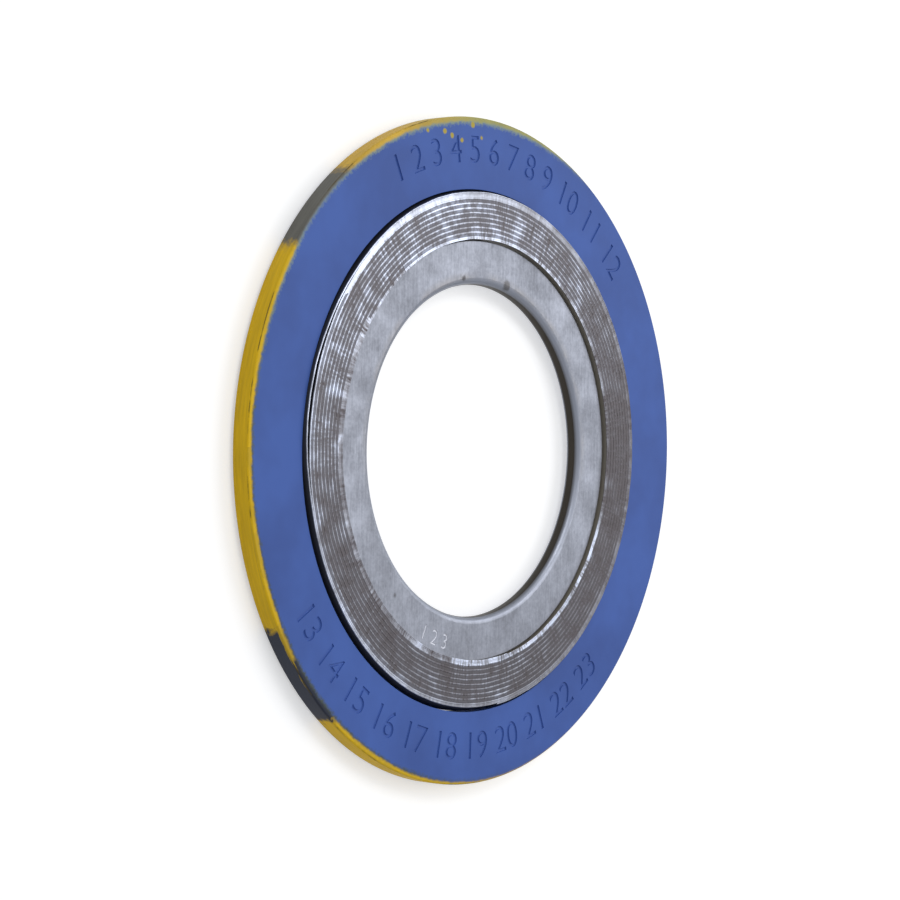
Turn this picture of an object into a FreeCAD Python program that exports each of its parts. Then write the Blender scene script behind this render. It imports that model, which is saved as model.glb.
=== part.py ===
import FreeCAD, Part
import math
import os

import Sketcher

# Spiral wound gasket, lying flat. The axis is +Z and the origin is the centre of the lower sealing face.
# Lengths are in millimetres and angles in degrees.

os.makedirs("parts", exist_ok=True)
doc = FreeCAD.newDocument("spiral_wound_gasket")

# Driving dimensions, those of a gasket for 2 inch pipe as far as its tolerances allow. The rim sets the gasket's
# place between the bolts, and the widths across the ring, the winding and the inner ring follow inward from it.
SIZES = {
    "ring_outer_diameter": 111.3,
    "ring_width": 12.85,
    "ring_thickness": 3.2,
    "winding_width": 7.6,
    "winding_height": 4.45,
    "inner_ring_width": 7.4,
    "inner_ring_thickness": 3.0,
    "inner_ring_chamfer": 0.55,
    "strip_thickness": 0.2,
    "chevron_depth": 0.7,
    "inner_plies": 2,
    "outer_plies": 3,
    "filler_turns": 8,
    "filler_start_angle": 90,
    "filler_recess": 0.05,
    "seat_play": 0.35,
    "rest_clearance": 0.05,
    "loose_turn_middle": 247.5,
    "loose_turn_span": 57,
    "loose_turn_overlap": 4,
    "chords_per_half_turn": 24,
}

sheet = doc.addObject("Spreadsheet::Sheet", "sizes")
for row, (alias, value) in enumerate(SIZES.items(), start=1):
    cell = "A%d" % row
    sheet.set(cell, str(value))
    sheet.setAlias(cell, alias)
doc.recompute()

# Expressions that more than one piece shares.
# The chevron leans outward by its full depth at mid height and by nothing at the two sealing faces.
MID_HEIGHT = "sizes.winding_height / 2"
RIM_RADIUS = "sizes.ring_outer_diameter / 2"
OUTER_RADIUS = "(%s - sizes.ring_width)" % RIM_RADIUS
INNER_RADIUS = "(%s - sizes.winding_width)" % OUTER_RADIUS
BORE_RADIUS = "(%s - sizes.inner_ring_width)" % INNER_RADIUS
CHEVRON_DEPTH = "sizes.chevron_depth"
# The winding has slid along +Y in both of its seats until only the resting clearance is left there.
SLIDE = "(sizes.seat_play - sizes.rest_clearance)"
SLIDE_DIRECTION = 90


def sized(expression):
    """Value of an expression."""
    return float(sheet.evalExpression(expression))


def lean_at_face(thickness):
    """Expression for how far the chevron leans outward level with the faces of a ring this thick."""
    return "sizes.chevron_depth * (1 - %s / sizes.winding_height)" % thickness


def origin_plane(body, role):
    """The origin plane of a body that has this role."""
    for feature in body.Origin.OriginFeatures:
        if feature.Role == role:
            return feature
    raise ValueError("no origin plane " + role)


def section_sketch(body, name, corners):
    """Closed outline in the body's XZ plane. Each corner is a pair of expressions: radius and height."""
    sketch = body.newObject("Sketcher::SketchObject", name)
    sketch.AttachmentSupport = [(origin_plane(body, "XZ_Plane"), "")]
    sketch.MapMode = "FlatFace"
    points = [FreeCAD.Vector(sized(radius), sized(height), 0) for radius, height in corners]
    count = len(points)
    for index in range(count):
        line = Part.LineSegment(points[index], points[(index + 1) % count])
        sketch.addGeometry(line, False)
    for index in range(count):
        sketch.addConstraint(Sketcher.Constraint("Coincident", index, 2, (index + 1) % count, 1))
    for index, (radius, height) in enumerate(corners):
        across = sketch.addConstraint(Sketcher.Constraint("DistanceX", -1, 1, index, 1, points[index].x))
        sketch.setExpression("Constraints[%d]" % across, radius)
        if points[index].y == 0:
            sketch.addConstraint(Sketcher.Constraint("PointOnObject", index, 1, -1))
            continue
        up = sketch.addConstraint(Sketcher.Constraint("DistanceY", -1, 1, index, 1, points[index].y))
        sketch.setExpression("Constraints[%d]" % up, height)
    return sketch


def turned_body(name, corners, angle="360"):
    """Body whose section is turned about the Z axis through an angle, half of it on each side of XZ."""
    body = doc.addObject("PartDesign::Body", name)
    body.Label = name
    sketch = section_sketch(body, name + "_section", corners)
    doc.recompute()
    turned = body.newObject("PartDesign::Revolution", name + "_turned")
    turned.Profile = sketch
    turned.ReferenceAxis = (sketch, ["V_Axis"])
    turned.Midplane = True
    turned.setExpression("Angle", angle)
    body.Tip = turned
    return body


def chevron_corners(inner_radius, outer_radius):
    """Corners of a chevron section, its apex outward, between two radii taken at the sealing faces."""
    return [
        (inner_radius, "0"),
        (outer_radius, "0"),
        (outer_radius + " + " + CHEVRON_DEPTH, MID_HEIGHT),
        (outer_radius, "sizes.winding_height"),
        (inner_radius, "sizes.winding_height"),
        (inner_radius + " + " + CHEVRON_DEPTH, MID_HEIGHT),
    ]


def outer_centering_ring():
    """Flat ring whose bore is one V groove, in line with the chevron of the winding that sits in it."""
    groove = OUTER_RADIUS + " + sizes.seat_play + "
    lip = groove + lean_at_face("sizes.ring_thickness")
    low = MID_HEIGHT + " - sizes.ring_thickness / 2"
    high = MID_HEIGHT + " + sizes.ring_thickness / 2"
    corners = [
        (lip, low),
        (RIM_RADIUS, low),
        (RIM_RADIUS, high),
        (lip, high),
        (groove + CHEVRON_DEPTH, MID_HEIGHT),
    ]
    return turned_body("outer_centering_ring", corners)


def inner_ring():
    """Flat ring with a V nose on its outer edge, which sits in the hollow of the innermost ply."""
    bore_edge = BORE_RADIUS + " + sizes.inner_ring_chamfer"
    nose = INNER_RADIUS + " - sizes.seat_play + "
    edge = nose + lean_at_face("sizes.inner_ring_thickness")
    low = MID_HEIGHT + " - sizes.inner_ring_thickness / 2"
    high = MID_HEIGHT + " + sizes.inner_ring_thickness / 2"
    corners = [
        (bore_edge, low),
        (edge, low),
        (nose + CHEVRON_DEPTH, MID_HEIGHT),
        (edge, high),
        (bore_edge, high),
        (BORE_RADIUS, high + " - sizes.inner_ring_chamfer"),
        (BORE_RADIUS, low + " + sizes.inner_ring_chamfer"),
    ]
    return turned_body("inner_ring", corners)


# The filler runs outward in half turns, struck in turn from two centres a quarter of the pitch either side of
# the winding's axis. Each half turn is a row of straight chords that stays within 0.1 mm of the round arc.
HALF_TURNS = 2 * int(sheet.filler_turns)
CHORDS = int(sheet.chords_per_half_turn)
SPIRAL_START = sized(INNER_RADIUS + " + sizes.inner_plies * sizes.strip_thickness")
SPIRAL_END = sized(OUTER_RADIUS + " - sizes.outer_plies * sizes.strip_thickness")
PITCH = (SPIRAL_END - SPIRAL_START + sheet.strip_thickness) / (sheet.filler_turns + 1)
FILLER_THICKNESS = PITCH - sheet.strip_thickness


def polar(radius, angle):
    """Vector of this length in the XY plane at an angle from +X."""
    turn = math.radians(angle)
    return FreeCAD.Vector(radius * math.cos(turn), radius * math.sin(turn), 0)


def spiral_points(offset, height):
    """Points of the filler's inner wall at a height, moved outward by an offset."""
    points = []
    for half in range(HALF_TURNS):
        side = -1 if half % 2 == 0 else 1
        centre = polar(side * PITCH / 4, sheet.filler_start_angle)
        centre.z = height
        radius = SPIRAL_START + PITCH / 4 + half * PITCH / 2 + offset
        first = 0 if half == 0 else 1
        for chord in range(first, CHORDS + 1):
            angle = sheet.filler_start_angle + 180 * (half + chord / CHORDS)
            points.append(centre + polar(radius, angle))
    return points


def filler_outline(height):
    """Closed row of points round the filler at a height: out along one wall and back along the other."""
    middle = sheet.winding_height / 2
    lean = sheet.chevron_depth * (1 - abs(height - middle) / middle)
    outline = spiral_points(lean, height) + spiral_points(lean + FILLER_THICKNESS, height)[::-1]
    return outline + outline[:1]


def wound_solid(low, high):
    """The filler's spiral as a solid between two heights, its walls leaning out to mid height and back."""
    levels = [filler_outline(height) for height in (low, sheet.winding_height / 2, high)]
    faces = [Part.Face(Part.makePolygon(levels[0])), Part.Face(Part.makePolygon(levels[-1]))]
    for below, above in zip(levels, levels[1:]):
        for index in range(len(below) - 1):
            corners = [below[index], below[index + 1], above[index + 1], above[index], below[index]]
            faces.append(Part.Face(Part.makePolygon(corners)))
    return Part.Solid(Part.Shell(faces))


def wound_feature(name, low, high):
    """Object that holds the wound solid, slid to where the winding lies."""
    feature = doc.addObject("Part::Feature", name)
    feature.Shape = wound_solid(low, high)
    feature.Placement = FreeCAD.Placement(polar(sized(SLIDE), SLIDE_DIRECTION), FreeCAD.Rotation())
    feature.Label = name
    return feature


def loose_turn():
    """The stretch of the last turn that springs off the plies below it and rests in the ring's groove.

    It is an arc of smaller radius. Its outside meets the outside of the plies at both ends of its span, and in
    the middle it rises by RISE, which leaves the resting clearance to the groove.
    """
    rise = SLIDE + " * (1 - cos(sizes.loose_turn_middle - %d))" % SLIDE_DIRECTION
    flat = OUTER_RADIUS + " * (1 - cos(sizes.loose_turn_span / 2))"
    shift = "(%s) * (2 * %s + %s) / (2 * (%s + %s))" % (rise, OUTER_RADIUS, rise, flat, rise)
    outside = OUTER_RADIUS + " + " + rise + " - " + shift
    half_chord = OUTER_RADIUS + " * sin(sizes.loose_turn_span / 2)"
    sweep = "2 * (asin(%s / (%s)) + sizes.loose_turn_overlap * 1 deg)" % (half_chord, outside)
    corners = chevron_corners(outside + " - sizes.strip_thickness", outside)
    body = turned_body("loose_turn", corners, sweep)
    centre = polar(sized(SLIDE), SLIDE_DIRECTION) + polar(sized(shift), sheet.loose_turn_middle)
    turn = FreeCAD.Rotation(FreeCAD.Vector(0, 0, 1), sheet.loose_turn_middle)
    body.Placement = FreeCAD.Placement(centre, turn)
    return body


def winding_strip():
    """The metal strip: inner plies, single turns between the filler, outer plies and the loose stretch.

    The plies that lie metal on metal are welded, so they are solid here. What is left of a chevron ring when
    the filler's channel is cut from it is the strip, in one piece from its first ply to its last.
    """
    plies = turned_body("solid_plies", chevron_corners(INNER_RADIUS, OUTER_RADIUS))
    plies.Placement = FreeCAD.Placement(polar(sized(SLIDE), SLIDE_DIRECTION), FreeCAD.Rotation())
    metal = doc.addObject("Part::Fuse", "metal")
    metal.Base = plies
    metal.Tool = loose_turn()
    overshoot = sheet.strip_thickness
    channel = wound_feature("filler_channel", -overshoot, sheet.winding_height + overshoot)
    strip = doc.addObject("Part::Cut", "winding_strip")
    strip.Base = metal
    strip.Tool = channel
    strip.Label = "winding_strip"
    return strip


def graphite_filler():
    """One strip of graphite that fills the space between the turns of metal, just below their edges."""
    return wound_feature("graphite_filler", sheet.filler_recess, sheet.winding_height - sheet.filler_recess)


nodes = [outer_centering_ring(), inner_ring(), winding_strip(), graphite_filler()]
doc.recompute()

for thing in doc.Objects:
    if "Invalid" in thing.State or "Error" in thing.State:
        raise RuntimeError(thing.Label + " failed to build")

for node in nodes:
    if node.Shape.isNull() or not node.Shape.isValid() or len(node.Shape.Solids) != 1:
        raise RuntimeError(node.Label + " is not one sound solid")

for node in nodes:
    node.Shape.exportStep("parts/%s.step" % node.Label)
    print("%s %.2f mm3" % (node.Label, node.Shape.Volume))
print("filler thickness %.3f mm, pitch %.3f mm" % (FILLER_THICKNESS, PITCH))
print("winding %.2f to %.2f mm across, bore %.2f mm across" % (
    2 * sized(INNER_RADIUS), 2 * sized(OUTER_RADIUS), 2 * sized(BORE_RADIUS)))
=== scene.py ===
# %% [markdown]
# # A spiral wound gasket
# A flat ring that seals two pipe flanges. A V section stainless strip is wound in a spiral with soft graphite
# between its turns. A plain inner ring sits in its bore, and a painted centering ring carries it outside.
# The solids come from the frame and set where each piece lies. They are too plain to show, so this lesson turns,
# winds and stamps each piece again with its fine edges, and then gives it its finish.

import math

import bmesh
import bpy
from mathutils import Matrix, Vector, noise


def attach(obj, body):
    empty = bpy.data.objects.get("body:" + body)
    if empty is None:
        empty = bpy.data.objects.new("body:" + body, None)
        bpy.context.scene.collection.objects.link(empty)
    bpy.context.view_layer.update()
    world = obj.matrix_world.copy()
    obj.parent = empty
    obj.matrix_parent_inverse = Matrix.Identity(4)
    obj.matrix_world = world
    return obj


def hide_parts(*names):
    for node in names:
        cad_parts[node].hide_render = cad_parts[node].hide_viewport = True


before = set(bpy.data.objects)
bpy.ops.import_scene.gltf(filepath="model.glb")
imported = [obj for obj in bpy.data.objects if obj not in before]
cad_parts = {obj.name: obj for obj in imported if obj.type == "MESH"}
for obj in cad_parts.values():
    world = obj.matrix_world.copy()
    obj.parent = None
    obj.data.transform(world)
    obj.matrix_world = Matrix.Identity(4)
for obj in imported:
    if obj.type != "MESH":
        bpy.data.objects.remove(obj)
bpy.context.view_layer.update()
MM = 0.001
print("solids in the frame:", sorted(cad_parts))

# %% [markdown]
# ## The camera
# The gasket lies flat and the camera looks down on it from one side. It is rolled by a quarter turn, so that the
# near side of the gasket is at the left of the picture. A long lens, about 21 degrees wide, keeps the far side
# nearly as large as the near side.

# %% Camera
CAMERA_AT = Vector((0.0, -316.01, 256.71)) * MM
CAMERA_AIM = Vector((-0.07, -5.93, 2.225)) * MM
CAMERA_ROLL = math.radians(90.95)
CAMERA_WIDTH = math.radians(21.078)

lens = bpy.data.cameras.new("camera")
lens.sensor_width = 36.0
lens.lens = lens.sensor_width / 2 / math.tan(CAMERA_WIDTH / 2)
lens.clip_start = 0.01
lens.clip_end = 20.0
camera = bpy.data.objects.new("camera", lens)
bpy.context.scene.collection.objects.link(camera)
camera.rotation_mode = "QUATERNION"
camera.location = CAMERA_AT
look = (CAMERA_AIM - CAMERA_AT).to_track_quat("-Z", "Y")
camera.rotation_quaternion = look @ Matrix.Rotation(CAMERA_ROLL, 3, "Z").to_quaternion()
bpy.context.scene.camera = camera
print("camera is %.0f mm from what it looks at" % ((CAMERA_AIM - CAMERA_AT).length / MM))

# %% [markdown]
# ## Small tools
# A material here is a tree of nodes, so one helper adds a node, sets its properties and feeds its sockets.
# Colours are written as hex codes, as a paint chart gives them, and one function turns them to linear light.

# %% Helpers for materials
def linear(code):
    """Linear colour with alpha from an sRGB hex code such as 8090A0."""
    parts = [int(code[start:start + 2], 16) / 255 for start in (0, 2, 4)]
    return tuple(p / 12.92 if p <= 0.04045 else ((p + 0.055) / 1.055) ** 2.4 for p in parts) + (1.0,)


def add(tree, kind, inputs=None, **settings):
    """Adds a node. inputs maps a socket's name or number to a value or to the output that feeds it."""
    made = tree.nodes.new("ShaderNode" + kind)
    for name, value in settings.items():
        setattr(made, name, value)
    for socket, source in (inputs or {}).items():
        if isinstance(source, bpy.types.NodeSocket):
            tree.links.new(source, made.inputs[socket])
        else:
            made.inputs[socket].default_value = source
    return made


def new_material(name):
    """An empty material: its tree, its Principled shader and the surface's object coordinates."""
    material = bpy.data.materials.new(name)
    material.use_nodes = True
    tree = material.node_tree
    tree.nodes.clear()
    shader = add(tree, "BsdfPrincipled")
    output = add(tree, "OutputMaterial")
    tree.links.new(shader.outputs["BSDF"], output.inputs["Surface"])
    place = add(tree, "TexCoord").outputs["Object"]
    return material, tree, shader, place


def set_stops(ramp, stops):
    """Gives a colour ramp these stops, each a position and a linear colour."""
    elements = ramp.color_ramp.elements
    while len(elements) > 1:
        elements.remove(elements[-1])
    elements[0].position, elements[0].color = stops[0]
    for position, colour in stops[1:]:
        elements.new(position).color = colour


print("helpers ready")

# %% [markdown]
# ## Sections and turning
# Each ring is its cross section turned about the axis, as on a lathe. It could also be cut out of cylinders with
# booleans, but then its edges would have to be rounded on the whole ring. Here the section starts as one face with
# sharp corners, and a bevel rounds each corner on its own. A full spin that merges its ends makes a closed ring.

# %% Helpers for shapes
def section_face(bm, corners, rounding, segments=4):
    """A face in the XZ plane from corners (radius, height) in mm. rounding gives each corner's radius in mm."""
    verts = [bm.verts.new((radius * MM, 0.0, height * MM)) for radius, height in corners]
    bm.faces.new(verts)
    for vert, size in zip(verts, rounding):
        if size > 0:
            bmesh.ops.bevel(bm, geom=[vert], offset=size * MM, offset_type="OFFSET", segments=segments,
                            profile=0.5, affect="VERTICES", material=-1, clamp_overlap=True)
    return bm.faces[:]


def finished_piece(name, bm, smooth_below=35):
    """Makes the object of a piece from its bmesh, closed, facing outward and smooth over soft edges."""
    bmesh.ops.remove_doubles(bm, verts=bm.verts, dist=0.0005 * MM)
    bmesh.ops.recalc_face_normals(bm, faces=bm.faces)
    mesh = bpy.data.meshes.new(name)
    bm.to_mesh(mesh)
    bm.free()
    mesh.shade_smooth()
    mesh.set_sharp_from_angle(angle=math.radians(smooth_below))
    piece = bpy.data.objects.new(name, mesh)
    bpy.context.scene.collection.objects.link(piece)
    return piece


def turned_ring(name, corners, rounding, steps):
    """A ring from its section, turned about the Z axis."""
    bm = bmesh.new()
    face = section_face(bm, corners, rounding)[0]
    edges = face.edges[:]
    bmesh.ops.delete(bm, geom=[face], context="FACES_ONLY")
    bmesh.ops.spin(bm, geom=edges + bm.verts[:], cent=(0, 0, 0), axis=(0, 0, 1), angle=math.tau, steps=steps,
                   use_merge=True, use_duplicate=False)
    piece = finished_piece(name, bm)
    print(name, "has", len(piece.data.polygons), "faces")
    return piece


def fit_to_body(piece, node):
    """The piece stands for a CAD node, which is hidden, and goes with the body."""
    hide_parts(node)
    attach(piece, "root")


print("shape helpers ready")

# %% [markdown]
# ## The centering ring
# A flat ring of carbon steel with one V groove in its bore. Its edges are broken by tumbling and the paint rounds
# them a little more, so each corner of the section gets a small radius.

# %% Centering ring
MIDDLE = 2.225
RIM_RADIUS = 55.63
RING_HALF = 1.6
GROOVE_LIP = 43.55
GROOVE_ROOT = 44.08
ring = turned_ring(
    "centering_ring",
    [(GROOVE_LIP, MIDDLE - RING_HALF), (RIM_RADIUS, MIDDLE - RING_HALF), (RIM_RADIUS, MIDDLE + RING_HALF),
     (GROOVE_LIP, MIDDLE + RING_HALF), (GROOVE_ROOT, MIDDLE)],
    [0.12, 0.3, 0.3, 0.12, 0.1], 360)

# %% [markdown]
# ## The inner ring
# It is cut from stainless plate. The edges of its bore are well rounded by tumbling, which gives them their broad
# highlight, and its outer edge is a V nose that sits in the hollow of the innermost ply. The same turning makes it.

# %% Inner ring
BORE_RADIUS = 27.8
BORE_ROUNDING = 1.15
INNER_HALF = 1.5
NOSE_RADIUS = 35.5
NOSE_EDGE = 35.07
inner = turned_ring(
    "bore_ring",
    [(BORE_RADIUS, MIDDLE - INNER_HALF), (NOSE_EDGE, MIDDLE - INNER_HALF), (NOSE_RADIUS, MIDDLE),
     (NOSE_EDGE, MIDDLE + INNER_HALF), (BORE_RADIUS, MIDDLE + INNER_HALF)],
    [BORE_ROUNDING, 0.1, 0.1, 0.1, BORE_ROUNDING], 300)

# %% [markdown]
# ## Stamped numbers
# The centering ring is stamped cold, digit by digit, before it is painted, and the paint softens the marks. Plain
# numbers in counting order stand here. Those towards -X read with their tops outward and those towards +X with their
# tops inward. Bump in the paint could draw them, but only a real cut has walls that catch the light.
# Each digit is a text curve with a rounded bevel, like the face of a punch. It is made a mesh before it is placed,
# and its lower part is cut from the ring. Its widest line stands a little above the face, because a boolean is unsure
# where two shapes share a plane.

# %% Stamps
RING_TOP = MIDDLE + RING_HALF
INNER_TOP = MIDDLE + INNER_HALF
INNER_NUMBERS_AT = 32.7
ABOVE_FACE = 0.03
# These are shares of a digit's height: the font's size, the rounding of its strokes, and the way to the next digit
# and across a blank.
FONT_SIZE, STROKE_ROUNDING, DIGIT_STEP, BLANK_STEP = 1.38, 0.03, 0.69, 0.38
# How much deeper a punch is than its rounding is wide.
DEEPER = 1.8


def digit_mesh(digit, tall):
    """The mesh of a punch's digit this tall in mm, its strokes rounded towards both sides."""
    curve = bpy.data.curves.new("digit", "FONT")
    curve.body = digit
    curve.align_x, curve.align_y = "CENTER", "CENTER"
    curve.size = FONT_SIZE * tall * MM
    curve.bevel_depth = STROKE_ROUNDING * tall * MM
    curve.offset = -STROKE_ROUNDING * tall * MM
    curve.bevel_resolution = 2
    curve.resolution_u = 4
    shape = bpy.data.objects.new("digit", curve)
    bpy.context.scene.collection.objects.link(shape)
    bpy.context.view_layer.update()
    mesh = bpy.data.meshes.new_from_object(shape.evaluated_get(bpy.context.evaluated_depsgraph_get()))
    bpy.data.objects.remove(shape)
    bpy.data.curves.remove(curve)
    return mesh


def stamp(piece, numbers, tall, radius, start, way, level):
    """Cuts numbers into a face at a level, along an arc. way is how they read, 1 or -1 about +Z. Sizes in mm."""
    punches = bmesh.new()
    along = 0.0
    for digit in numbers:
        if digit == " ":
            along += BLANK_STEP * tall
            continue
        turn = math.radians(start) + way * along / radius
        mesh = digit_mesh(digit, tall)
        at = Vector((radius * math.cos(turn), radius * math.sin(turn), level + ABOVE_FACE)) * MM
        deeper = Matrix.Scale(DEEPER, 4, (0, 0, 1))
        mesh.transform(Matrix.Translation(at) @ Matrix.Rotation(turn + way * math.pi / 2, 4, "Z") @ deeper)
        punches.from_mesh(mesh)
        bpy.data.meshes.remove(mesh)
        along += DIGIT_STEP * tall
    bmesh.ops.remove_doubles(punches, verts=punches.verts, dist=0.0005 * MM)
    tools = bpy.data.meshes.new("punches")
    punches.to_mesh(tools)
    punches.free()
    punch = bpy.data.objects.new("punches", tools)
    bpy.context.scene.collection.objects.link(punch)
    cut = piece.modifiers.new("stamp", "BOOLEAN")
    cut.operation, cut.solver, cut.object = "DIFFERENCE", "EXACT", punch
    bpy.context.view_layer.update()
    stamped = bpy.data.meshes.new_from_object(piece.evaluated_get(bpy.context.evaluated_depsgraph_get()))
    piece.modifiers.clear()
    plain = piece.data
    piece.data = stamped
    bpy.data.objects.remove(punch)
    bpy.data.meshes.remove(plain)
    bpy.data.meshes.remove(tools)
    # A boolean may lose the small island inside a digit's loop, so what is left open is filled.
    bm = bmesh.new()
    bm.from_mesh(stamped)
    bmesh.ops.remove_doubles(bm, verts=bm.verts, dist=0.00005 * MM)
    open_edges = [edge for edge in bm.edges if edge.is_boundary]
    if open_edges:
        bmesh.ops.holes_fill(bm, edges=open_edges, sides=0)
    left = sum(edge.is_boundary for edge in bm.edges)
    bm.to_mesh(stamped)
    bm.free()
    print(piece.name, "had", len(open_edges), "open edges after the stamp, now", left)
    stamped.shade_smooth()
    stamped.set_sharp_from_angle(angle=math.radians(35))
    # The flat face round the digits has long faces, over which a smoothed corner would draw a dark band.
    for face in stamped.polygons:
        if abs(face.normal.z) > 0.9999:
            face.use_smooth = False
    print(piece.name, "stamped over %.0f mm, now %d faces" % (along, len(stamped.polygons)))


stamp(ring, "1 2 3 4 5 6 7 8 9 10 11 12", 4.7, 50.0, 206.0, -1, RING_TOP)
stamp(ring, "13 14 15 16 17 18 19 20 21 22 23", 4.7, 49.5, 301.0, 1, RING_TOP)
stamp(inner, "1 2 3", 2.6, INNER_NUMBERS_AT, 335.5, 1, INNER_TOP)

# %% [markdown]
# ## The wound strip
# A bevelled curve or a Screw modifier could wind the strip, but neither keeps an exact V section at a pitch this
# fine. So it is wound in half turns, struck from two centres that lie either side of the axis, and each half turn is
# one spin of the strip's section. Seen from above it runs clockwise as it grows.
# A spin gets slow on a mesh that grows, so each half turn is spun in a small mesh of its own and then joined on.
# The winding rollers spread the edges of the turns that have graphite beside them, so their section has a small
# lip at each edge. The whole winding has slid in its seats, away from the near side and a little towards -X.

# %% Winding a section
AXIS = Vector((-0.15, 0.25, 0.0)) * MM
INNER_START = 35.15
OUTER_START = 42.6
STRIP = 0.2
PITCH = (OUTER_START - INNER_START - STRIP) / 9
FILLER = PITCH - STRIP
WAY = -1
HEIGHT = 4.45
LEAN = 0.7
LIP_STARTS = 0.16
LIP_WIDEST = 0.08
STEPS_OF_HALF_TURN = 120


def lean_at(height):
    """How far the V leans outward at a height, in mm."""
    return LEAN * (1 - abs(height - MIDDLE) / MIDDLE)


def v_section(part, inside, thickness, recess, lip, edge_radius):
    """Outline of a strip's V section at +X of the axis, in mm. inside is its inner radius at the sealing faces."""
    high = HEIGHT - recess
    walls = [(thickness, MIDDLE, 0)]
    if lip:
        walls += [(thickness, high - LIP_STARTS, 0), (thickness + lip, high - LIP_WIDEST, 0)]
    walls += [(thickness + lip, high, edge_radius), (-lip, high, edge_radius)]
    if lip:
        walls += [(-lip, high - LIP_WIDEST, 0), (0, high - LIP_STARTS, 0)]
    walls += [(0, MIDDLE, 0)]
    walls += [(across, HEIGHT - height, size) for across, height, size in walls[-2:0:-1]]
    corners = [(inside + across + lean_at(height), height) for across, height, size in walls]
    faces = section_face(part, corners, [size for across, height, size in walls], segments=3)
    bmesh.ops.delete(part, geom=faces, context="FACES_ONLY")


def join(bm, part):
    """Adds a mesh to another one."""
    piece = bpy.data.meshes.new("part")
    part.to_mesh(piece)
    part.free()
    bm.from_mesh(piece)
    bpy.data.meshes.remove(piece)


def wind(section, inside, angle, turns):
    """A section wound outward from an angle, closed at both ends. Each turn is (half turns, growth per turn)."""
    whole = bmesh.new()
    for share, growth in turns:
        part = bmesh.new()
        v_section(part, inside, *section)
        place = Matrix.Translation(AXIS) @ Matrix.Rotation(angle, 4, "Z")
        bmesh.ops.transform(part, matrix=place, verts=part.verts)
        start = Vector((math.cos(angle), math.sin(angle), 0.0))
        bmesh.ops.spin(part, geom=part.verts[:] + part.edges[:], cent=AXIS - start * (growth / 4 * MM),
                       axis=(0, 0, 1), angle=WAY * share * math.pi,
                       steps=round(STEPS_OF_HALF_TURN * share), use_merge=False, use_duplicate=False)
        join(whole, part)
        angle += WAY * share * math.pi
        inside += share * growth / 2
    bmesh.ops.remove_doubles(whole, verts=whole.verts, dist=0.001 * MM)
    bmesh.ops.holes_fill(whole, edges=[edge for edge in whole.edges if edge.is_boundary], sides=0)
    print("wound to an inner radius of %.2f mm" % inside)
    return whole


print("pitch %.4f mm, %.4f mm of it graphite" % (PITCH, FILLER))

# %% [markdown]
# About a turn and a half at each end lies metal on metal and is welded. Between them run nine turns with graphite or
# a pressed band beside them. The outer turns come first here, because a stretch of the last one has sprung off the
# ply below it at the near side and rests in the ring's groove. A smooth hump moves its vertices outward.

# %% Outer plies and the loose stretch
START = math.radians(235)
PLY = 0.22
LAST_SHARE = 48.6 / 180
LOOSE_MIDDLE = math.radians(252.5)
LOOSE_SPAN = math.radians(62)
LOOSE_RISE = 0.62

strip_mesh = bmesh.new()
plies = wind((STRIP, 0.015, 0, 0.03), OUTER_START, START, [(1, PLY)] * 3 + [(LAST_SHARE, PLY)])
for vert in plies.verts:
    away = vert.co - AXIS
    turn = math.atan2(away.y, away.x) % math.tau - LOOSE_MIDDLE
    run = (START - LOOSE_MIDDLE - turn) / math.tau + (1 if turn + LOOSE_MIDDLE > START else 0)
    wall = math.hypot(away.x, away.y) / MM - lean_at(vert.co.z / MM) - OUTER_START - PLY * run
    outermost = turn + LOOSE_MIDDLE > START or wall > PLY - 0.01
    if abs(turn) < LOOSE_SPAN / 2 and outermost:
        out = Vector((away.x, away.y, 0.0)).normalized()
        part = turn / LOOSE_SPAN
        vert.co += out * (LOOSE_RISE * MM * math.cos(math.pi * (part - 0.12 * (1 - 4 * part * part))) ** 1.5)
join(strip_mesh, plies)

# %% [markdown]
# The plies at the bore are wound the same way, from where the strip starts, and the turns between them and the outer
# plies have the graphite's pitch and the spread lips.

# %% Inner plies and the turns between the graphite
FIRST_PLY = 137
LIP = 0.05

join(strip_mesh, wind((STRIP, 0.015, 0, 0.03), INNER_START - STRIP * FIRST_PLY / 360,
                      START + math.radians(FIRST_PLY), [(FIRST_PLY / 180, STRIP)] + [(1, STRIP)] * 2))
join(strip_mesh, wind((STRIP, 0, LIP, 0.07), INNER_START + STRIP, START, [(1, PITCH)] * 18))

# %% [markdown]
# Where the graphite starts and where it stops, the plies close up over one turn, and the rollers press what is
# left between them flat. It reads as a band of metal that gets narrower round the gasket. Each band is one wound
# turn, and its inner wall is drawn outward along its length.

# %% Pressed bands
BAND_DEPTH = 0.03
THIN = FILLER - 0.02


def pressed_band(inside, growth, first, last):
    """A wound turn as thick as the graphite, its inner wall drawn outward by a first to a last amount in mm."""
    band = wind((FILLER, BAND_DEPTH, 0, 0), inside, START, [(1, growth)] * 2)
    for vert in band.verts:
        away = vert.co - AXIS
        along = (WAY * (math.atan2(away.y, away.x) - START) + 0.001) % math.tau / math.tau
        wall = inside + growth * along + lean_at(vert.co.z / MM)
        if math.hypot(away.x, away.y) / MM - wall < FILLER / 2:
            out = Vector((away.x, away.y, 0.0)).normalized()
            vert.co += out * ((first + (last - first) * along) * MM)
    return band


join(strip_mesh, pressed_band(INNER_START + STRIP - FILLER, PITCH, THIN, 0))
join(strip_mesh, pressed_band(OUTER_START - FILLER, STRIP, 0, THIN))

# %% [markdown]
# Slit strip never lies quite level or quite round. Each edge rises, falls and wanders by a few hundredths of a
# millimetre, over lengths of about two millimetres. A noise read at each vertex near an edge moves it.

# %% Uneven edges
EDGE_ZONE = 0.2
DROP, DROP_LENGTH = 0.05, 1.6
SWAY, SWAY_LENGTH = 0.06, 2.5

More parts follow.
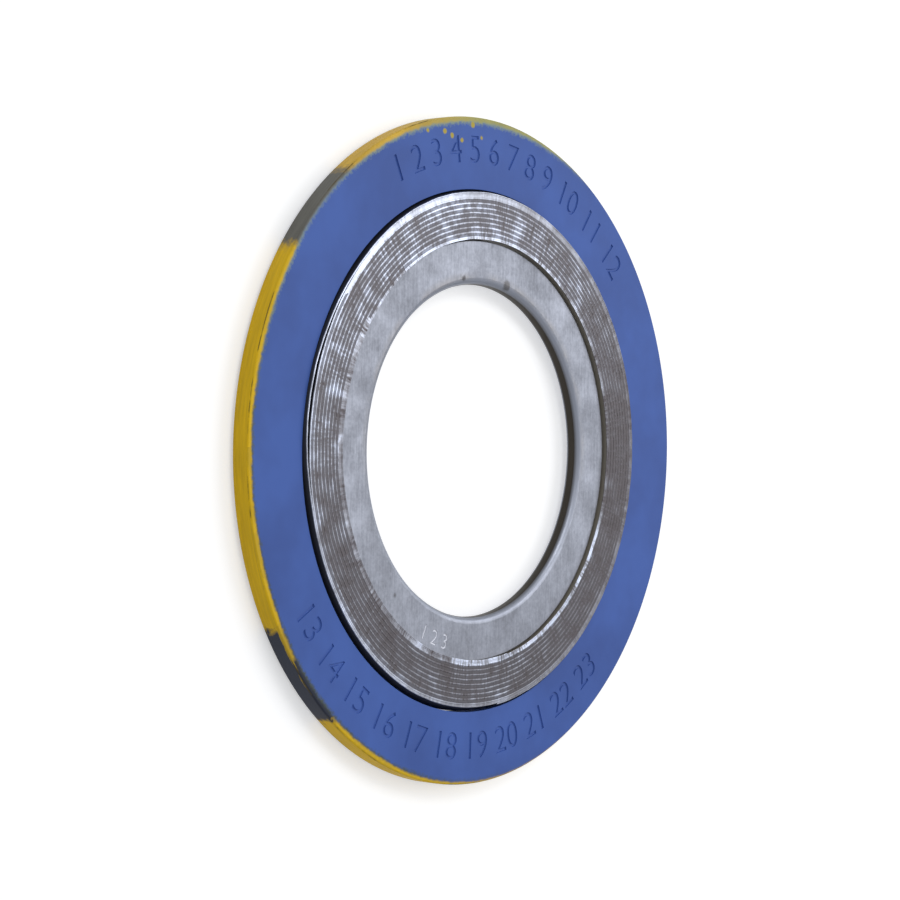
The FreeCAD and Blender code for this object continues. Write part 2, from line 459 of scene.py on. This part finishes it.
for vert in strip_mesh.verts:
    if min(vert.co.z, HEIGHT * MM - vert.co.z) < EDGE_ZONE * MM:
        drop = abs(noise.noise(vert.co / (DROP_LENGTH * MM))) * DROP * MM
        vert.co.z += drop if vert.co.z < MIDDLE * MM else -drop
        out = Vector((vert.co.x, vert.co.y, 0.0)).normalized()
        vert.co += out * (noise.noise(vert.co / (SWAY_LENGTH * MM) + Vector((7.0, 3.0, 5.0))) * SWAY * MM)
strip = finished_piece("wound_strip", strip_mesh, 50)
print("strip has", len(strip.data.polygons), "faces")

# %% [markdown]
# ## The graphite
# Eight turns of soft graphite fill the space between the turns of metal. Its edge lies a little below theirs. The
# same winding makes it, so its walls follow the strip's exactly.

# %% Filler
FILLER_DEPTH = 0.05
filler_mesh = wind((FILLER, FILLER_DEPTH, 0, 0), INNER_START + 2 * STRIP, START, [(1, PITCH)] * 16)
filler = finished_piece("wound_graphite", filler_mesh, 50)
print("filler has", len(filler.data.polygons), "faces")

# %% [markdown]
# ## Patterns that run round the axis
# Most marks on this part run round it: brush strokes, roller marks, smears. A noise texture gets that grain when
# it is read at a place made of the direction from the axis, which changes slowly, and the radius, which changes
# fast. A direction has no seam, unlike an angle. The angle itself is only used for the colour code on the rim,
# and its seam is turned to the far side, where the paint is the same all over.

# %% Places round the axis
def round_the_axis(tree, place):
    """The radius in mm, the height in mm and the unit direction from the axis."""
    flat = add(tree, "VectorMath", {0: place, 1: (1 / MM, 1 / MM, 0)}, operation="MULTIPLY")
    radius = add(tree, "VectorMath", {0: flat.outputs[0]}, operation="LENGTH")
    direction = add(tree, "VectorMath", {0: flat.outputs[0]}, operation="NORMALIZE")
    height = add(tree, "VectorMath", {0: place, 1: (0, 0, 1 / MM)}, operation="DOT_PRODUCT")
    return radius.outputs["Value"], height.outputs["Value"], direction.outputs[0]


def streak_place(tree, direction, across, at_radius, length, width):
    """Where to read a noise so that its grains are this long round the axis and this wide across, in mm."""
    round_it = add(tree, "VectorMath", {0: direction, "Scale": at_radius / length}, operation="SCALE")
    scaled = add(tree, "Math", {0: across, 1: 1 / width}, operation="MULTIPLY")
    upward = add(tree, "CombineXYZ", {2: scaled.outputs[0]})
    return add(tree, "VectorMath", {0: round_it.outputs[0], 1: upward.outputs[0]}, operation="ADD").outputs[0]


def colour_of(mix):
    """The output of a node that mixes colours."""
    return mix.outputs[2]


print("pattern helpers ready")

# %% [markdown]
# ## Blue epoxy enamel and the colour code
# The centering ring is carbon steel with a sprayed coat of satin blue enamel. Sprayed paint is even, with a fine
# orange peel and soft clouds where the coat is thinner. The rim is then rolled in yellow and grey paint that
# tells the metal and the filler of the winding. That paint was put on by hand. It laps onto the face by up to a
# millimetre, lies thin or missing in places, and left a few drips. The angle round the axis picks its colour and
# its lap from two ramps, and noises move both borders, so that they look brushed.

# %% Enamel: angle, radius and noises
enamel, tree, shader, place = new_material("satin_enamel_on_steel")
radius, height, direction = round_the_axis(tree, place)
split = add(tree, "SeparateXYZ", {0: place})
minus_y = add(tree, "Math", {0: split.outputs[1], 1: -1.0}, operation="MULTIPLY")
angle = add(tree, "Math", {0: split.outputs[0], 1: minus_y.outputs[0]}, operation="ARCTAN2")
share = add(tree, "MapRange", {"Value": angle.outputs[0], "From Min": -math.pi, "From Max": math.pi})
brush = add(tree, "TexNoise", {"Vector": streak_place(tree, direction, height, RIM_RADIUS, 7.0, 0.5), "Scale": 1.0,
                               "Detail": 4.0, "Roughness": 0.6})
ragged = add(tree, "TexNoise", {"Vector": place, "Scale": 1 / (1.1 * MM), "Detail": 3.0, "Roughness": 0.65})
clouds = add(tree, "TexNoise", {"Vector": place, "Scale": 1 / (14 * MM), "Detail": 3.0, "Roughness": 0.55})
peel = add(tree, "TexNoise", {"Vector": place, "Scale": 1 / (0.8 * MM), "Detail": 2.0})
print("enamel starts with", len(tree.nodes), "nodes")


# %% Enamel: the code's colours and its lap onto the faces
def around(degrees):
    """Place on the ramp of an angle, in degrees counted from the near side."""
    return 0.5 + degrees / 360


YELLOW, DULL_YELLOW, AMBER = linear("E2B800"), linear("AEAA66"), linear("D6AE3A")
GREY, NAVY = linear("66655E"), linear("262C3C")
centred = add(tree, "Math", {0: ragged.outputs[0], 1: 0.5}, operation="SUBTRACT")
wander = add(tree, "Math", {0: centred.outputs[0], 1: 0.012, 2: share.outputs[0]}, operation="MULTIPLY_ADD")
code = add(tree, "ValToRGB", {0: wander.outputs[0]})
set_stops(code, [(around(-143), YELLOW), (around(-141), GREY), (around(-125), GREY), (around(-123), DULL_YELLOW),
                 (around(-88), DULL_YELLOW), (around(-68), AMBER), (around(-53), AMBER), (around(-51.5), GREY),
                 (around(-34.5), GREY), (around(-33.5), YELLOW), (around(29.5), YELLOW), (around(30.5), NAVY),
                 (around(49.5), NAVY), (around(50.5), YELLOW), (around(125), YELLOW), (around(127), GREY),
                 (around(143), GREY), (around(145), YELLOW)])
lap = add(tree, "ValToRGB", {0: share.outputs[0]})


def lap_level(width):
    """Grey level that stands for a lap of this width in mm, up to 2 mm."""
    return (width / 2, width / 2, width / 2, 1.0)


set_stops(lap, [(around(-140), lap_level(0.0)), (around(-122), lap_level(0.1)), (around(-105), lap_level(0.55)),
                (around(-84), lap_level(0.85)), (around(-60), lap_level(0.75)), (around(-50), lap_level(0.45)),
                (around(-37), lap_level(0.45)), (around(-32), lap_level(0.75)), (around(26), lap_level(0.85)),
                (around(34), lap_level(0.8)), (around(66), lap_level(0.7)), (around(84), lap_level(0.4)),
                (around(100), lap_level(0.2)), (around(125), lap_level(0.0))])
print("rim colours set")

# %% [markdown]
# The lap's border is where the distance from the rim equals the lap's width. Subtracting the two and passing the
# result through a narrow range gives a soft edge. Beyond it a fringe of thin paint and overspray mixes with the
# blue: a pale green grey where the brush ran dry, and dark olive specks where it was wet.

# %% Enamel: where the code paint lies
from_rim = add(tree, "Math", {0: RIM_RADIUS, 1: radius}, operation="SUBTRACT")
width = add(tree, "Math", {0: lap.outputs[0], 1: 2.0}, operation="MULTIPLY")
uneven = add(tree, "Math", {0: ragged.outputs[0], 1: 1.0, 2: 0.5}, operation="MULTIPLY_ADD")
reach = add(tree, "Math", {0: width.outputs[0], 1: uneven.outputs[0]}, operation="MULTIPLY")
inside_lap = add(tree, "Math", {0: reach.outputs[0], 1: from_rim.outputs[0]}, operation="SUBTRACT")
lapped = add(tree, "MapRange", {"Value": inside_lap.outputs[0], "From Min": -0.28, "From Max": 0.3},
             interpolation_type="SMOOTHSTEP")
on_wall = add(tree, "MapRange", {"Value": from_rim.outputs[0], "From Min": 0.1, "From Max": 0.02})
covered = add(tree, "Math", {0: lapped.outputs[0], 1: on_wall.outputs[0]}, operation="MAXIMUM")
shade = add(tree, "MapRange", {"Value": clouds.outputs[0], "From Min": 0.35, "From Max": 0.65})
blue = add(tree, "Mix", {0: shade.outputs[0], 6: linear("3B59A2"), 7: linear("4566B4")}, data_type="RGBA")
strokes = add(tree, "MapRange", {"Value": brush.outputs[0], "From Min": 0.3, "From Max": 0.7, "To Min": 0.82,
                                 "To Max": 1.1})
stroked = add(tree, "VectorMath", {0: code.outputs[0], "Scale": strokes.outputs[0]}, operation="SCALE")
fringe = add(tree, "ValToRGB", {0: share.outputs[0]})
set_stops(fringe, [(around(-30), linear("8FA08A")), (around(-8), linear("5E6438")), (around(20), linear("4B5230")),
                   (around(100), linear("4B5230")), (around(125), linear("8FA08A"))])
specks = add(tree, "TexNoise", {"Vector": place, "Scale": 1 / (0.6 * MM), "Detail": 3.0, "Roughness": 0.7})
sprayed = add(tree, "Math", {0: specks.outputs[0], 1: 1.6, 2: inside_lap.outputs[0]}, operation="MULTIPLY_ADD")
thin = add(tree, "MapRange", {"Value": sprayed.outputs[0], "From Min": 0.1, "From Max": 0.8, "To Max": 0.9})
has_lap = add(tree, "MapRange", {"Value": width.outputs[0], "From Min": 0.1, "From Max": 0.6})
fringed = add(tree, "Math", {0: thin.outputs[0], 1: has_lap.outputs[0]}, operation="MULTIPLY")
edged = add(tree, "Mix", {0: fringed.outputs[0], 6: colour_of(blue), 7: fringe.outputs[0]}, data_type="RGBA")
painted = add(tree, "Mix", {0: covered.outputs[0], 6: colour_of(edged), 7: stroked.outputs[0]}, data_type="RGBA")
print("enamel has", len(tree.nodes), "nodes with its lap")

# %% [markdown]
# The tumbled corner of the rim takes the knocks. The paint there is scraped thin in short dashes, and the navy of
# the code lets dashes of the yellow below it through. Where the yellow ran off the brush, a few drops fell on the
# face towards -X. Each is a small distance field with a ragged border.

# %% Enamel: scraped corner and drips
CORNER = 3.7
off_corner = add(tree, "Math", {0: height, 1: CORNER, 2: 0.07}, operation="COMPARE")
dashes = add(tree, "TexNoise", {"Vector": streak_place(tree, direction, radius, RIM_RADIUS, 9.0, 3.0),
                                "Scale": 1.0, "Detail": 5.0, "Roughness": 0.7})
scraped = add(tree, "MapRange", {"Value": dashes.outputs[0], "From Min": 0.5, "From Max": 0.6, "To Max": 0.75})
at_rim = add(tree, "Math", {0: from_rim.outputs[0], 1: 0.5}, operation="LESS_THAN")
on_corner = add(tree, "Math", {0: off_corner.outputs[0], 1: at_rim.outputs[0]}, operation="MULTIPLY")
worn = add(tree, "Math", {0: on_corner.outputs[0], 1: scraped.outputs[0]}, operation="MULTIPLY")
near_corner = add(tree, "Math", {0: height, 1: CORNER, 2: 0.28}, operation="COMPARE")
streaky = add(tree, "MapRange", {"Value": brush.outputs[0], "From Min": 0.5, "From Max": 0.56, "To Max": 0.85})
at_corner = add(tree, "Math", {0: near_corner.outputs[0], 1: streaky.outputs[0]}, operation="MULTIPLY")
past_near_side = add(tree, "Math", {0: share.outputs[0], 1: 0.5}, operation="GREATER_THAN")
near_navy = add(tree, "Math", {0: at_corner.outputs[0], 1: past_near_side.outputs[0]}, operation="MULTIPLY")
through = add(tree, "Math", {0: near_navy.outputs[0], 1: covered.outputs[0]}, operation="MULTIPLY")
under = add(tree, "Mix", {0: through.outputs[0], 6: colour_of(painted), 7: linear("C9A514")}, data_type="RGBA")
colour = add(tree, "Mix", {0: worn.outputs[0], 6: colour_of(under), 7: linear("54481C")}, data_type="RGBA")
for drip_radius, degrees, size in ((53.4, 191.4, 0.5), (52.6, 189.5, 0.45), (51.7, 186.8, 0.4), (54.3, 183.5, 0.5),
                                   (54.1, 196.0, 0.4), (52.3, 181.0, 0.35)):
    turn = math.radians(degrees)
    spot = Vector((drip_radius * math.cos(turn), drip_radius * math.sin(turn), 3.82)) * MM
    away = add(tree, "VectorMath", {0: place, 1: tuple(spot)}, operation="DISTANCE")
    blurred = add(tree, "Math", {0: ragged.outputs[0], 1: 0.5 * MM, 2: away.outputs["Value"]},
                  operation="MULTIPLY_ADD")
    drop = add(tree, "MapRange", {"Value": blurred.outputs[0], "From Min": (size + 0.35) * MM,
                                  "From Max": (size + 0.1) * MM})
    colour = add(tree, "Mix", {0: drop.outputs[0], 6: colour_of(colour), 7: linear("B9A63C")}, data_type="RGBA")
print("enamel has", len(tree.nodes), "nodes with its wear")

# %% [markdown]
# The coat is satin, a little duller where it is thin, and the orange peel is a bump of two hundredths of a
# millimetre.

# %% Enamel: gloss and orange peel
gloss = add(tree, "MapRange", {"Value": clouds.outputs[0], "To Min": 0.5, "To Max": 0.62})
relief = add(tree, "Bump", {"Height": peel.outputs[0], "Strength": 0.35, "Distance": 0.02 * MM})
tree.links.new(colour_of(colour), shader.inputs["Base Color"])
tree.links.new(gloss.outputs[0], shader.inputs["Roughness"])
tree.links.new(relief.outputs[0], shader.inputs["Normal"])
shader.inputs["Specular IOR Level"].default_value = 0.3
print("enamel has", len(tree.nodes), "nodes")

# %% [markdown]
# ## Rolled stainless plate
# The inner ring is cut from rolled stainless plate and tumbled. Rolling leaves fine streaks one way, here along X,
# and tumbling makes the metal satin and a little cloudy. The rounded edges of the bore are burnished smoother than
# the face and painted lighter as a highlight, and the wall between them is coloured dark brown. Near the bore
# towards -X the metal is darker and browner, and there are a few spots. The floors of the stamped numbers are fresh,
# bright metal.

# %% Plate
plate, tree, shader, place = new_material("rolled_stainless_plate")
radius, height, _ = round_the_axis(tree, place)
along_x = add(tree, "Mapping", {0: place, 3: (1 / (5 * MM), 1 / (0.45 * MM), 1 / (2 * MM))})
rolled = add(tree, "TexNoise", {"Vector": along_x.outputs[0], "Scale": 1.0, "Detail": 4.0, "Roughness": 0.6})
tumbled = add(tree, "TexNoise", {"Vector": place, "Scale": 1 / (0.5 * MM), "Detail": 3.0, "Roughness": 0.6})
cloudy = add(tree, "TexNoise", {"Vector": place, "Scale": 1 / (6 * MM), "Detail": 4.0, "Roughness": 0.6})
grain = add(tree, "Mix", {0: 0.5, 2: rolled.outputs[0], 3: tumbled.outputs[0]})
level = add(tree, "Mix", {0: 0.5, 2: grain.outputs[0], 3: cloudy.outputs[0]})
tone = add(tree, "MapRange", {"Value": level.outputs[0], "From Min": 0.36, "From Max": 0.64})
metal = add(tree, "Mix", {0: tone.outputs[0], 6: linear("8D9099"), 7: linear("ADB1BD")}, data_type="RGBA")
# Near the bore towards -X the metal is coloured darker and browner, in clouds.
near_bore = add(tree, "MapRange", {"Value": radius, "From Min": 30.2, "From Max": 28.2})
darker_clouds = add(tree, "MapRange", {"Value": cloudy.outputs[0], "From Min": 0.4, "From Max": 0.62, "To Max": 0.75})
beside = add(tree, "SeparateXYZ", {0: place})
far_half = add(tree, "MapRange", {"Value": beside.outputs["X"], "From Min": 10 * MM, "From Max": -6 * MM})
on_far_half = add(tree, "Math", {0: darker_clouds.outputs[0], 1: far_half.outputs[0]}, operation="MULTIPLY")
darker_near_bore = add(tree, "Math", {0: near_bore.outputs[0], 1: on_far_half.outputs[0]}, operation="MULTIPLY")
tinted = add(tree, "Mix", {0: darker_near_bore.outputs[0], 6: colour_of(metal), 7: linear("8C867F")}, data_type="RGBA")
# Painted highlight: the rounded edges of the bore are coloured lighter. They are also smoother, below.
burnished_painted_highlight = add(tree, "MapRange", {"Value": radius, "From Min": 29.0, "From Max": 28.5, "To Max": 0.85})
wear_and_painted_sheen = add(tree, "Mix", {0: burnished_painted_highlight.outputs[0], 6: colour_of(tinted), 7: linear("AAAFBC")}, data_type="RGBA")
# The wall of the bore and the start of its rounds are coloured dark brown.
from_middle = add(tree, "Math", {0: height, 1: MIDDLE}, operation="SUBTRACT")
off_middle = add(tree, "Math", {0: from_middle.outputs[0]}, operation="ABSOLUTE")
on_wall = add(tree, "MapRange", {"Value": off_middle.outputs[0], "From Min": 1.1, "From Max": 0.6})
by_bore = add(tree, "Math", {0: radius, 1: 29.0}, operation="LESS_THAN")
in_bore = add(tree, "Math", {0: on_wall.outputs[0], 1: by_bore.outputs[0]}, operation="MULTIPLY")
colour = add(tree, "Mix", {0: in_bore.outputs[0], 6: colour_of(wear_and_painted_sheen), 7: linear("3D3934")}, data_type="RGBA")
below = add(tree, "MapRange", {"Value": height, "From Min": INNER_TOP - 0.015, "From Max": INNER_TOP - 0.03})
among_digits = add(tree, "Math", {0: radius, 1: INNER_NUMBERS_AT, 2: 1.8}, operation="COMPARE")
marked = add(tree, "Math", {0: below.outputs[0], 1: among_digits.outputs[0]}, operation="MULTIPLY")
colour = add(tree, "Mix", {0: marked.outputs[0], 6: colour_of(colour), 7: linear("DADCE4")}, data_type="RGBA")
for spot_radius, degrees, size, tint in ((29.0, 189.6, 0.45, "4E4B4C"), (28.8, 166.5, 0.9, "6E6C6C"),
                                         (31.5, 318.0, 0.3, "5E5C5E")):
    turn = math.radians(degrees)
    spot = Vector((spot_radius * math.cos(turn), spot_radius * math.sin(turn), 3.72)) * MM
    away = add(tree, "VectorMath", {0: place, 1: tuple(spot)}, operation="DISTANCE")
    blurred = add(tree, "Math", {0: tumbled.outputs[0], 1: 0.5 * MM, 2: away.outputs["Value"]},
                  operation="MULTIPLY_ADD")
    stain = add(tree, "MapRange", {"Value": blurred.outputs[0], "From Min": (size + 0.45) * MM,
                                   "From Max": size * MM, "To Max": 0.8})
    colour = add(tree, "Mix", {0: stain.outputs[0], 6: colour_of(colour), 7: linear(tint)}, data_type="RGBA")
gloss = add(tree, "MapRange", {"Value": level.outputs[0], "From Min": 0.35, "From Max": 0.65, "To Min": 0.62,
                               "To Max": 0.48})
gloss = add(tree, "Math", {0: burnished_painted_highlight.outputs[0], 1: -0.12, 2: gloss.outputs[0]}, operation="MULTIPLY_ADD")
relief = add(tree, "Bump", {"Height": grain.outputs[0], "Strength": 0.5, "Distance": 0.02 * MM})
tree.links.new(colour_of(colour), shader.inputs["Base Color"])
tree.links.new(gloss.outputs[0], shader.inputs["Roughness"])
tree.links.new(relief.outputs[0], shader.inputs["Normal"])
shader.inputs["Metallic"].default_value = 1.0
print("plate has", len(tree.nodes), "nodes")

# %% [markdown]
# ## The face of the winding
# Metal and graphite were pressed, wiped and scratched together, so one pattern of wear runs over both: fine scratches
# cross the turns, and clouds of graphite film lie between them. Over it lies a level that differs round the axis and
# between the outer plies, the turns with graphite and the inner plies. The difference between the plies is wear, and
# the change round the axis is painted highlight and shade: the outer plies are painted light at the near side towards
# -X and dark at the far side. Three ramps over the angle hold these levels, in the order outer, middle and inner.

# %% Rubbing and painted sheen
MID_WINDING = 39.0


def rubbing_and_painted_sheen(tree, place):
    """How bright the winding is, from 0 to 1, from wear and painted highlight and shade, with its scratches, and the
    radius and height in mm.
    """
    local = add(tree, "VectorMath", {0: place, 1: tuple(AXIS)}, operation="SUBTRACT")
    radius, height, direction = round_the_axis(tree, local.outputs[0])
    split = add(tree, "SeparateXYZ", {0: direction})
    minus_y = add(tree, "Math", {0: split.outputs[1], 1: -1.0}, operation="MULTIPLY")
    angle = add(tree, "Math", {0: split.outputs[0], 1: minus_y.outputs[0]}, operation="ARCTAN2")
    share = add(tree, "MapRange", {"Value": angle.outputs[0], "From Min": -math.pi, "From Max": math.pi})
    # Painted highlight and shade: each ramp makes the winding lighter or darker round the axis.
    wear_and_painted_light_levels = []
    for stops in (((-170, 0.1), (-140, 0.25), (-115, 0.38), (-90, 0.52), (-45, 0.74), (-20, 0.66), (10, 0.5),
                   (45, 0.6), (80, 0.42), (100, 0.36), (140, 0.25), (175, 0.1)),
                  ((-170, 0.04), (-140, 0.25), (-125, 0.42), (-90, 0.48), (-50, 0.42), (-20, 0.38), (10, 0.3),
                   (30, 0.12), (60, 0.2), (100, 0.24), (130, 0.1), (170, 0.04)),
                  ((-170, 0.1), (-140, 0.3), (-115, 0.55), (-60, 0.62), (-30, 0.4), (-10, 0.25), (10, 0.16),
                   (60, 0.3), (84, 0.72), (105, 0.5), (118, 0.7), (150, 0.66), (165, 0.1))):
        ramp = add(tree, "ValToRGB", {0: share.outputs[0]})
        set_stops(ramp, [(around(degrees), (level, level, level, 1.0)) for degrees, level in stops])
        wear_and_painted_light_levels.append(ramp.outputs[0])
    ragged = add(tree, "TexNoise", {"Vector": place, "Scale": 1 / (1.2 * MM), "Detail": 4.0, "Roughness": 0.65})
    uneven = add(tree, "Math", {0: ragged.outputs[0], 1: 1.6, 2: radius}, operation="MULTIPLY_ADD")
    outer = add(tree, "MapRange", {"Value": uneven.outputs[0], "From Min": 42.5, "From Max": 42.8})
    nearly = add(tree, "MapRange", {"Value": uneven.outputs[0], "From Min": 37.1, "From Max": 36.8})
    first = add(tree, "Mix", {0: outer.outputs[0], 2: wear_and_painted_light_levels[1], 3: wear_and_painted_light_levels[0]})
    level = add(tree, "Mix", {0: nearly.outputs[0], 2: first.outputs[0], 3: wear_and_painted_light_levels[2]})
    scratch = add(tree, "TexNoise", {"Vector": streak_place(tree, direction, radius, MID_WINDING, 0.5, 2.6),
                                     "Scale": 1.0, "Detail": 3.0, "Roughness": 0.6})
    cloud = add(tree, "TexNoise", {"Vector": place, "Scale": 1 / (3.5 * MM), "Detail": 4.0, "Roughness": 0.6})
    patch = add(tree, "TexNoise", {"Vector": place, "Scale": 1 / (7 * MM), "Detail": 2.0})
    share = add(tree, "MapRange", {"Value": patch.outputs[0], "From Min": 0.4, "From Max": 0.6, "To Min": 0.4,
                                   "To Max": 0.9})
    mixed = add(tree, "Mix", {0: share.outputs[0], 2: scratch.outputs[0], 3: cloud.outputs[0]})
    centred = add(tree, "Math", {0: mixed.outputs[0], 1: 0.5}, operation="SUBTRACT")
    wide = add(tree, "Math", {0: level.outputs[0], 1: 5.0, 2: 1.0}, operation="MULTIPLY_ADD")
    swing = add(tree, "Mix", {0: outer.outputs[0], 2: wide.outputs[0], 3: 1.2})
    moved = add(tree, "Math", {0: centred.outputs[0], 1: swing.outputs[0]}, operation="MULTIPLY")
    wear_and_painted_sheen = add(tree, "Math", {0: moved.outputs[0], 1: level.outputs[0]}, operation="ADD", use_clamp=True)
    return wear_and_painted_sheen.outputs[0], scratch.outputs[0], radius, height


print("rubbing ready")

# %% [markdown]
# ## Slit stainless strip
# The strip's edges were cut by slitting rollers and then pressed by the winding rollers. Their colour runs from a
# brown grey film of graphite to steel that is light and a little blue, partly from wear and partly as painted
# highlight and shade round the axis. The walls below the edges carry painted shade, nearly black outward and painted
# lighter towards the bore.

# %% Strip
slit, tree, shader, place = new_material("slit_stainless_strip")
wear_and_painted_sheen, scratch, radius, height = rubbing_and_painted_sheen(tree, place)
# The edges' colour follows the wear and the painted highlight and shade.
edge = add(tree, "ValToRGB", {0: wear_and_painted_sheen})
set_stops(edge, [(0.0, linear("625D60")), (0.4, linear("94969F")), (0.8, linear("CBD2E4"))])
from_middle = add(tree, "Math", {0: height, 1: MIDDLE}, operation="SUBTRACT")
level = add(tree, "Math", {0: from_middle.outputs[0]}, operation="ABSOLUTE")
wall = add(tree, "MapRange", {"Value": level.outputs[0], "From Min": 2.13, "From Max": 2.06})
# Painted shade and light on the walls below the edges: nearly black outward, lighter towards the bore.
outward = add(tree, "MapRange", {"Value": radius, "From Min": 36.5, "From Max": 38.0})
wall_painted_light_and_shade = add(tree, "Mix", {0: outward.outputs[0], 6: linear("A39C8E"), 7: linear("25262C")}, data_type="RGBA")
colour = add(tree, "Mix", {0: wall.outputs[0], 6: edge.outputs[0], 7: colour_of(wall_painted_light_and_shade)}, data_type="RGBA")
gloss = add(tree, "MapRange", {"Value": wear_and_painted_sheen, "To Min": 0.5, "To Max": 0.3})
relief = add(tree, "Bump", {"Height": scratch, "Strength": 0.5, "Distance": 0.03 * MM})
tree.links.new(colour_of(colour), shader.inputs["Base Color"])
tree.links.new(gloss.outputs[0], shader.inputs["Roughness"])
tree.links.new(relief.outputs[0], shader.inputs["Normal"])
bare = add(tree, "MapRange", {"Value": wall.outputs[0], "To Min": 1.0, "To Max": 0.2})
tree.links.new(bare.outputs[0], shader.inputs["Metallic"])
print("strip has", len(tree.nodes), "nodes")

# %% [markdown]
# ## Flexible graphite
# Expanded graphite pressed into a foil and slit. It is dark brown grey with a soft metallic lustre. The same wear and
# painted highlight and shade as on the strip lie over it, up to a blue grey of smeared metal, and its cut edge is
# crumbly, with grains of a few tenths of a millimetre.

# %% Graphite
foil, tree, shader, place = new_material("flexible_graphite_foil")
wear_and_painted_sheen, scratch, _, _ = rubbing_and_painted_sheen(tree, place)
torn = add(tree, "TexNoise", {"Vector": place, "Scale": 1 / (0.35 * MM), "Detail": 4.0, "Roughness": 0.65})
# Its colour follows the wear and the painted highlight and shade.
cut_edge = add(tree, "ValToRGB", {0: wear_and_painted_sheen})
set_stops(cut_edge, [(0.0, linear("5C585B")), (0.5, linear("636269")), (1.0, linear("9298A8"))])
crumb = add(tree, "MapRange", {"Value": torn.outputs[0], "From Min": 0.3, "From Max": 0.7, "To Min": 0.8,
                               "To Max": 1.2})
colour = add(tree, "VectorMath", {0: cut_edge.outputs[0], "Scale": crumb.outputs[0]}, operation="SCALE")
both = add(tree, "Mix", {0: 0.5, 2: scratch, 3: torn.outputs[0]})
relief = add(tree, "Bump", {"Height": both.outputs[0], "Strength": 0.6, "Distance": 0.05 * MM})
tree.links.new(colour.outputs[0], shader.inputs["Base Color"])
tree.links.new(relief.outputs[0], shader.inputs["Normal"])
shader.inputs["Metallic"].default_value = 0.75
shader.inputs["Roughness"].default_value = 0.45
print("graphite has", len(tree.nodes), "nodes")

# %% [markdown]
# ## Dressing the solids
# Each new piece stands for one solid of the frame, which is then hidden, and rides on the one body. The name of
# that solid's slot is listed with it, but nothing uses it.

# %% Give each piece its finish and its place on the body
for piece, material, node, slot in ((ring, enamel, "outer_centering_ring", "ring_paint"),
                                    (inner, plate, "inner_ring", "inner_ring_steel"),
                                    (strip, slit, "winding_strip", "strip_steel"),
                                    (filler, foil, "graphite_filler", "graphite")):
    piece.data.materials.append(material)
    fit_to_body(piece, node)
    print(piece.name, "is", material.name)

# %% [markdown]
# ## Floor and light
# A plain pale floor and soft light. A brighter lamp would also turn the floor white, but it would bleach the piece.
# So the floor has a little light of its own, which only the camera and reflections see, and it keeps the shadow.

# %% Floor
bm = bmesh.new()
bmesh.ops.create_grid(bm, x_segments=1, y_segments=1, size=3.0)
mesh = bpy.data.meshes.new("floor")
bm.to_mesh(mesh)
bm.free()
floor = bpy.data.objects.new("floor", mesh)
bpy.context.scene.collection.objects.link(floor)
floor_paper = bpy.data.materials.new("floor_paper")
floor_paper.use_nodes = True
tree = floor_paper.node_tree
tree.nodes.clear()
paper = add(tree, "BsdfDiffuse", {"Color": linear("E6E6E6")})
path = add(tree, "LightPath")
seen = add(tree, "Math", {0: path.outputs["Is Camera Ray"], 1: path.outputs["Is Glossy Ray"]}, operation="MAXIMUM")
seen = add(tree, "Math", {0: seen.outputs[0], 1: path.outputs["Is Transmission Ray"]}, operation="MAXIMUM")
lift = add(tree, "Math", {0: seen.outputs[0], 1: 0.45}, operation="MULTIPLY")
glow = add(tree, "Emission", {"Color": linear("FFFFFF"), "Strength": lift.outputs[0]})
both = add(tree, "AddShader", {0: paper.outputs[0], 1: glow.outputs[0]})
add(tree, "OutputMaterial", {"Surface": both.outputs[0]})
mesh.materials.append(floor_paper)
print("floor laid")

# %% [markdown]
# The world gives an even, faintly blue light. A softbox over the near side towards -X is the key, and a wide one
# beyond the far side shows up the turns of the winding and the bore's rounded edge.

# %% Light
world = bpy.data.worlds.new("studio")
bpy.context.scene.world = world
world.use_nodes = True
tree = world.node_tree
tree.nodes.clear()
background = add(tree, "Background", {"Color": linear("F2F4F8"), "Strength": 0.53})
add(tree, "OutputWorld", {"Surface": background.outputs[0]})


def softbox(name, at, size, power):
    """A square area light that faces the gasket. Its place and size are in mm and its power in watts."""
    lamp = bpy.data.lights.new(name, "AREA")
    lamp.size = size * MM
    lamp.energy = power
    lit = bpy.data.objects.new(name, lamp)
    bpy.context.scene.collection.objects.link(lit)
    lit.location = Vector(at) * MM
    lit.rotation_mode = "QUATERNION"
    lit.rotation_quaternion = (-lit.location).to_track_quat("-Z", "Y")
    print(name, "softbox is %.0f mm away" % (lit.location.length / MM))


softbox("key", (-500, -150, 600), 300, 1.15)
softbox("far", (-205, 541, 582), 600, 2.2)

bpy.context.scene.view_settings.view_transform = "Standard"
